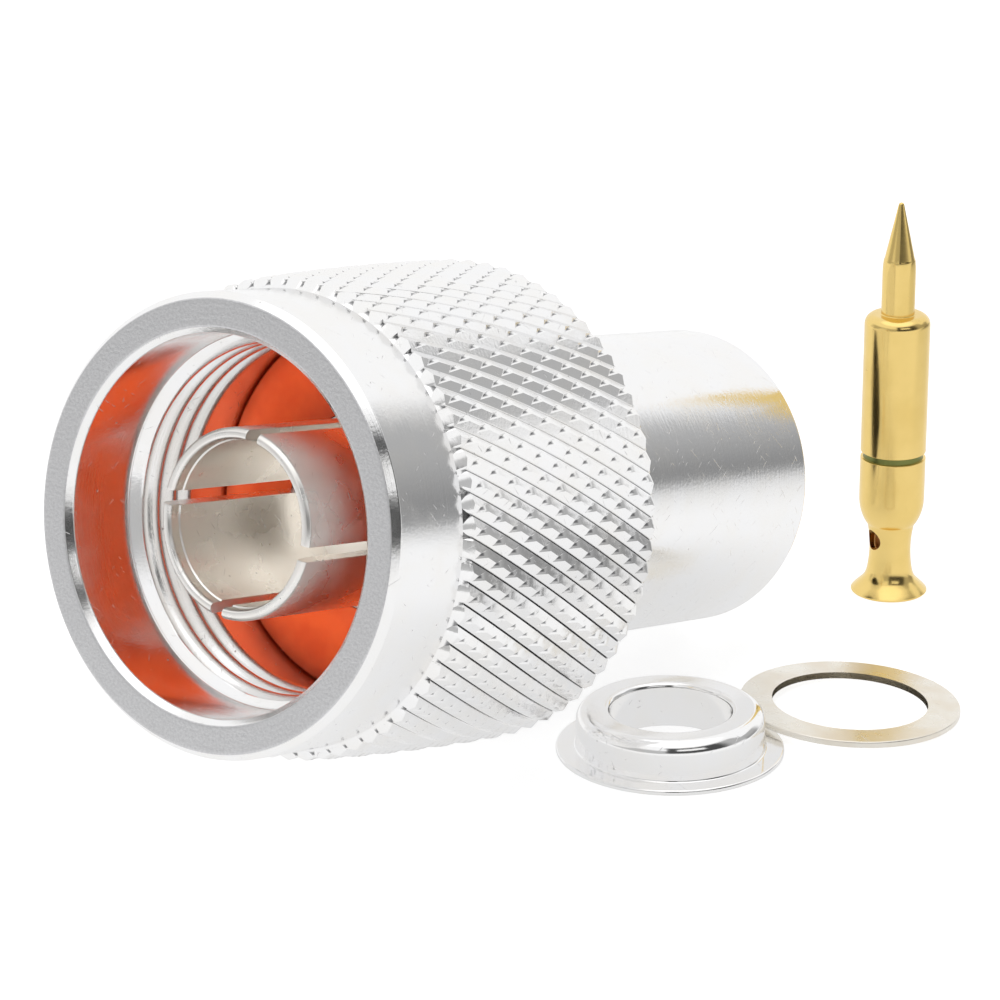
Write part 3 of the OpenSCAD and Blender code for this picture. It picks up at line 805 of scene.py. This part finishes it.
def makePin():
    size = pinSize
    foot, neck, waist, body = size["footRadius"], size["neckRadius"], size["waistRadius"], size["bodyRadius"]
    neckBottom, neckTop = size["footHeight"], size["bodyStart"] - size["domeLength"]
    outline = [(size["bore"], 0), (foot - size["footEdge"], 0), (foot, size["footEdge"]), (foot, size["footRim"])]
    outline += size["footCurve"] + [(neck + size["neckStep"], neckBottom)]
    # the waist bows in evenly between the foot and the dome
    for step in range(1 - size["waistSteps"], size["waistSteps"]):
        share = step / size["waistSteps"]
        outline.append((waist + (neck - waist) * share * share,
                        (neckBottom + neckTop) / 2 + share * (neckTop - neckBottom) / 2))
    domeWidth = (body - neck) / (1 - math.cos(math.radians(size["domeAngle"])))
    domeHeight = size["domeLength"] / -math.sin(math.radians(size["domeAngle"]))
    outline += arcPoints((body - domeWidth, size["bodyStart"]), domeWidth, domeHeight, size["domeAngle"], 360,
                         size["domeSteps"])
    grooveFloor = body - size["grooveDepth"]
    grooveLow, grooveHigh = [size["grooveHeight"] + side * size["grooveWidth"] / 2 for side in (-1, 1)]
    grooveCorners = [(body, grooveLow), (grooveFloor, grooveLow), (grooveFloor, grooveHigh), (body, grooveHigh)]
    outline += grooveCorners
    rounding, tip, cone, nose = size["shoulderRounding"], size["tipRadius"], size["coneRadius"], size["nose"]
    outline += arcPoints((body - rounding, size["shoulder"] - rounding), rounding, rounding, 0, 90, 8)
    tipFoot = (tip, size["shoulder"])
    outline += [tipFoot]
    outline += arcPoints((cone, size["coneStart"] - size["tipCurve"]), tip - cone, size["tipCurve"], 0, 75, 8)
    outline += [(cone, size["coneStart"])]
    outline += arcPoints((0, size["length"] - nose), nose, nose, 12, 89, 6)
    outline += [(0.0, size["length"]), (0.0, size["boreDepth"]), (size["bore"], size["boreDepth"])]
    edges = [(size["grooveRounding"], grooveCorners), (size["tipRounding"], [tipFoot])]
    piece = turnPiece("centrePin", outline, edges, steps=size["steps"])
    bpy.ops.object.select_all(action="DESELECT")
    bpy.ops.mesh.primitive_cylinder_add(vertices=size["cutterSides"], radius=size["holeRadius"],
                                        depth=size["cutterReach"],
                                        location=(size["cutterReach"] / 2, 0, size["holeHeight"]),
                                        rotation=(0, math.pi / 2, 0))
    cutter = bpy.context.object
    bpy.ops.object.transform_apply(location=True, rotation=True, scale=True)
    cutter.rotation_euler = (0, 0, math.radians(size["holeTurn"]))
    bpy.ops.object.transform_apply(location=True, rotation=True, scale=True)
    cutAway(piece, cutter)
    smoothShading(piece, size["smoothAngle"])
    place(piece, standing("pin_tip"))
    return piece


# the pin's plating has a painted dark band in its groove, painted shade
goldPlating = platedMetal("goldPlating", standing("pin_tip"), (0, 0, 0), finishLike(
    silverFinish, colour=(0.92, 0.68, 0.25), warmColour=(0.88, 0.64, 0.22), markColour=(0.5, 0.3, 0.08),
    roughness=(0.15, 0.21), ringStrength=0.05, scratchAmount=0.1, nickSize=0.04, boreColour=(0.85, 0.48, 0.18),
    stainHeights=(6.9, 7.2), stainColour=(0.2, 0.22, 0.07)))
pinPiece = makePin()
dress(pinPiece, goldPlating, "plug", "gold", "centre_contact")
print("pin made")


# Braid clamp and flat washer

braidSize = {
    "bore": 2.7, "flangeRadius": 5.08, "flange": 0.26, "collarRadius": 4.2, "height": 2.08,
    "flangeRounding": (0.1, 4), "collarRounding": (0.6, 10), "boreRounding": (0.25, 5), "creaseRounding": (0.12, 4),
    "footRounding": (0.08, 3), "steps": 160, "smoothAngle": 60,
}
washerSize = {"bore": 3.54, "radius": 5.0, "thickness": 0.3, "edge": 0.07, "smoothAngle": 60}


def makeBraidClamp():
    size = braidSize
    bore, flange, collar, height = size["bore"], size["flangeRadius"], size["collarRadius"], size["height"]
    outline = [(bore, 0), (flange, 0), (flange, size["flange"]), (collar, size["flange"]), (collar, height),
               (bore, height)]
    piece = drawOutline("braidClamp", outline)
    for rounding, corners in (("flangeRounding", outline[1:3]), ("collarRounding", outline[4:5]),
                              ("boreRounding", outline[5:6]), ("creaseRounding", outline[3:4]),
                              ("footRounding", outline[0:1])):
        radius, segments = size[rounding]
        roundCorners(piece, radius, corners, segments)
    spinOutline(piece, size["steps"])
    smoothShading(piece, size["smoothAngle"])
    place(piece, standing("braid_clamp_bore"))
    return piece


def makeWasher():
    size = washerSize
    half = size["thickness"] / 2
    outline = [(size["bore"], -half), (size["radius"], -half), (size["radius"], half), (size["bore"], half)]
    piece = turnPiece("flatWasher", outline, [(size["edge"], outline)])
    smoothShading(piece, size["smoothAngle"])
    lean = Vector((0, 0, 1)).rotation_difference(Vector(washerMount["axis"])).to_euler()
    place(piece, washerSpot, lean)
    return piece


washerMount = mounts["washer_bore"]
washerSpot = Vector(washerMount["pos_m"])
braidPlating = platedMetal("braidClampPlating", standing("braid_clamp_bore"), (0, 0, 0), finishLike(
    silverFinish, roughness=(0.09, 0.14), ringStrength=0.1))
braidPiece = makeBraidClamp()
dress(braidPiece, braidPlating, "plug", "washer_plating", "braid_clamp")
washerPlating = platedMetal("washerPlating", washerSpot, (0, 0, 0), finishLike(
    silverFinish, colour=(0.9, 0.87, 0.8), warmColour=(0.87, 0.81, 0.71), roughness=(0.25, 0.35)))
washerPiece = makeWasher()
dress(washerPiece, washerPlating, "plug", "washer_plating", "flat_washer")
print("braid clamp and washer made")


# Floor, light and camera

studio = {
    "size": 1.6, "grey": 0.5, "greyInMetal": 0.03, "glow": 0.72, "roughness": 0.7, "gloss": 0.1, "echoGrey": 0.85,
    "echoSpan": (1.4, 1.6), "underGrey": 0.74, "underSpan": (0.008, 0.022), "nearGrey": 0.9, "farGrey": 0.21,
    "farSpan": (0.03, 0.18), "rightSpan": (0.0, 0.02), "farBearings": (46, 60),
}


def bearings(span):
    return tuple(math.radians(angle) for angle in span)


def softerEcho(tree, rays, level):
    # what is seen by way of a second metal surface is lit more evenly
    echo = mapRange(tree, rays["Glossy Depth"], studio["echoSpan"], smooth=False)
    return mixGreys(tree, echo, level, studio["echoGrey"])


def makeFloor():
    size = studio
    bpy.ops.object.select_all(action="DESELECT")
    bpy.ops.mesh.primitive_plane_add(size=size["size"])
    floor = bpy.context.object
    floor.name = "studioFloor"
    material, tree, shader = newMaterial("paleFloor")
    rays = addNode(tree, "ShaderNodeLightPath").outputs
    spot = addNode(tree, "ShaderNodeTexCoord").outputs["Object"]
    x, y = splitPlace(tree, spot)[:2]
    away = addNode(tree, "ShaderNodeVectorMath", {"operation": "LENGTH"}, i0=spot).outputs["Value"]
    # in reflections the floor glows with painted light: painted shade under the piece, and darker far off at the
    # back right
    far = mapRange(tree, away, size["farSpan"], size["nearGrey"], size["farGrey"], smooth=False)
    under = mapRange(tree, away, size["underSpan"], size["underGrey"], size["nearGrey"])
    bearing = mathNode(tree, "ARCTAN2", x, y)
    right = multiply(tree, mapRange(tree, x, size["rightSpan"]),
                     falling(tree, bearing, bearings(size["farBearings"])))
    farOrNear = mixGreys(tree, right, size["nearGrey"], far)
    seenInMetal = softerEcho(tree, rays, mathNode(tree, "MINIMUM", farOrNear, under))
    isGlossy = rays["Is Glossy Ray"]
    glow = mathNode(tree, "ADD", multiply(tree, rays["Is Camera Ray"], size["glow"]),
                    multiply(tree, isGlossy, seenInMetal))
    colour = mixColours(tree, isGlossy, (size["grey"],) * 3, (size["greyInMetal"],) * 3)
    connect(tree, shader, Base_Color=colour, Emission_Strength=glow)
    shader.inputs["Roughness"].default_value = size["roughness"]
    shader.inputs["Specular IOR Level"].default_value = size["gloss"]
    shader.inputs["Emission Color"].default_value = (1, 1, 1, 1)
    floor.data.materials.append(material)


# Bearings run from the back toward the right, in degrees; heights are the z of a direction.
room = {
    "openGrey": 0.97, "light": 0.5, "darkStart": (9, 22), "darkEnd": (145, 155),
    "backGreys": (0.22, 0.42), "backHeights": (-0.05, 0.24), "backTop": (0.41, 0.47), "sideStart": (40, 48),
    "sideLow": 0.85, "sideHeights": (0.06, 0.12), "sideGreys": (0.45, 0.07), "sideTurn": (62, 80),
    "sideTop": (0.7, 0.8),
    "lampCount": 7.0, "lampEdge": (-0.75, -0.6), "lampBottom": (0.4, 0.44), "lampTop": (0.6, 0.64),
    "lampFront": (-0.05, -0.2), "frontGrey": 0.5, "frontDepth": (-0.2, -0.6), "frontTop": (0.35, 0.55),
    "ceilingGlow": 0.35, "ceilingStart": (0.82, 0.88),
}


def makeWorld():
    size = room
    world = bpy.data.worlds.new("studioRoom")
    bpy.context.scene.world = world
    world.use_nodes = True
    tree = world.node_tree
    tree.nodes.clear()
    rays = addNode(tree, "ShaderNodeLightPath").outputs
    x, y, z = splitPlace(tree, addNode(tree, "ShaderNodeTexCoord").outputs["Generated"])
    bearing = mathNode(tree, "ARCTAN2", x, y)
    # the right half of the room is dark up to the ceiling, greyer at the back, with lamps over the viewer's side
    rightHalf = multiply(tree, mapRange(tree, bearing, bearings(size["darkStart"])),
                         falling(tree, bearing, bearings(size["darkEnd"])))
    backGrey = mapRange(tree, z, size["backHeights"], *size["backGreys"], smooth=False)
    darkest = mapRange(tree, bearing, bearings(size["sideTurn"]), *size["sideGreys"])
    sideGrey = mixGreys(tree, mapRange(tree, z, size["sideHeights"]), size["sideLow"], darkest)
    toSide = mapRange(tree, bearing, bearings(size["sideStart"]))
    rightGrey = mixGreys(tree, toSide, backGrey, sideGrey)
    lampWave = mathNode(tree, "SINE", multiply(tree, bearing, size["lampCount"]))
    lampHeight = multiply(tree, mapRange(tree, z, size["lampBottom"]), falling(tree, z, size["lampTop"]))
    lamps = multiply(tree, mapRange(tree, lampWave, size["lampEdge"]), lampHeight,
                     mapRange(tree, y, size["lampFront"]))
    underCeiling = mixGreys(tree, toSide, falling(tree, z, size["backTop"]), falling(tree, z, size["sideTop"]))
    dark = multiply(tree, rightHalf, underCeiling, inverse(tree, lamps))
    # the front left is grey up to head height, and the rest of the room is light
    frontLeft = multiply(tree, mapRange(tree, y, size["frontDepth"]), falling(tree, z, size["frontTop"]),
                         inverse(tree, rightHalf))
    level = mixGreys(tree, dark, mixGreys(tree, frontLeft, size["openGrey"], size["frontGrey"]), rightGrey)
    ceiling = multiply(tree, mapRange(tree, z, size["ceilingStart"]), size["ceilingGlow"])
    level = softerEcho(tree, rays, mathNode(tree, "ADD", level, ceiling))
    isCamera, isGlossy = rays["Is Camera Ray"], rays["Is Glossy Ray"]
    share = mapRange(tree, isGlossy, (0.0, 1.0), size["light"], 1.0, smooth=False)
    seen = mathNode(tree, "ADD", multiply(tree, level, share, inverse(tree, isCamera)), isCamera)
    background = addNode(tree, "ShaderNodeBackground", None, Color=(1, 1, 1, 1), Strength=seen)
    output = addNode(tree, "ShaderNodeOutputWorld")
    tree.links.new(background.outputs[0], output.inputs[0])


softboxes = {
    "topSoftbox": {"spot": (-0.1, -0.05, 0.5), "aim": (0, 0, 0), "size": 0.4, "power": 1.0},
    "frontSoftbox": {"spot": (0.1, -0.5, 0.06), "aim": faceCentre, "size": 0.25, "power": 3.0},
    "rearSoftbox": {"spot": (-0.05, 0.5, 0.05), "aim": faceCentre, "size": 0.25, "power": 2.5},
}


def addSoftbox(name, spot, aim, size, power):
    bpy.ops.object.select_all(action="DESELECT")
    bpy.ops.object.light_add(type="AREA", location=spot)
    lamp = bpy.context.object
    lamp.name = name
    lamp.data.shape = "RECTANGLE"
    lamp.data.size = lamp.data.size_y = size
    lamp.data.energy = power
    lamp.rotation_euler = (Vector(aim) - Vector(spot)).to_track_quat("-Z", "Y").to_euler()
    lamp.visible_glossy = False


cameraView = {
    "fromFace": (109.44, -120.73, 60.34), "tilt": 70, "bearing": 38, "sensor": 36, "lens": 151.2,
    "near": 0.01, "far": 10,
}


def addCamera():
    size = cameraView
    spot = faceCentre + Vector(size["fromFace"]) * mm
    bpy.ops.object.select_all(action="DESELECT")
    bpy.ops.object.camera_add(location=spot, rotation=(math.radians(size["tilt"]), 0, math.radians(size["bearing"])))
    camera = bpy.context.object
    camera.name = "studioCamera"
    camera.data.sensor_width = size["sensor"]
    camera.data.lens = size["lens"]
    camera.data.clip_start = size["near"]
    camera.data.clip_end = size["far"]
    bpy.context.scene.camera = camera


makeFloor()
makeWorld()
for softboxName, softbox in softboxes.items():
    addSoftbox(softboxName, **softbox)
addCamera()
bpy.context.scene.view_settings.view_transform = "Standard"
print("stage ready")
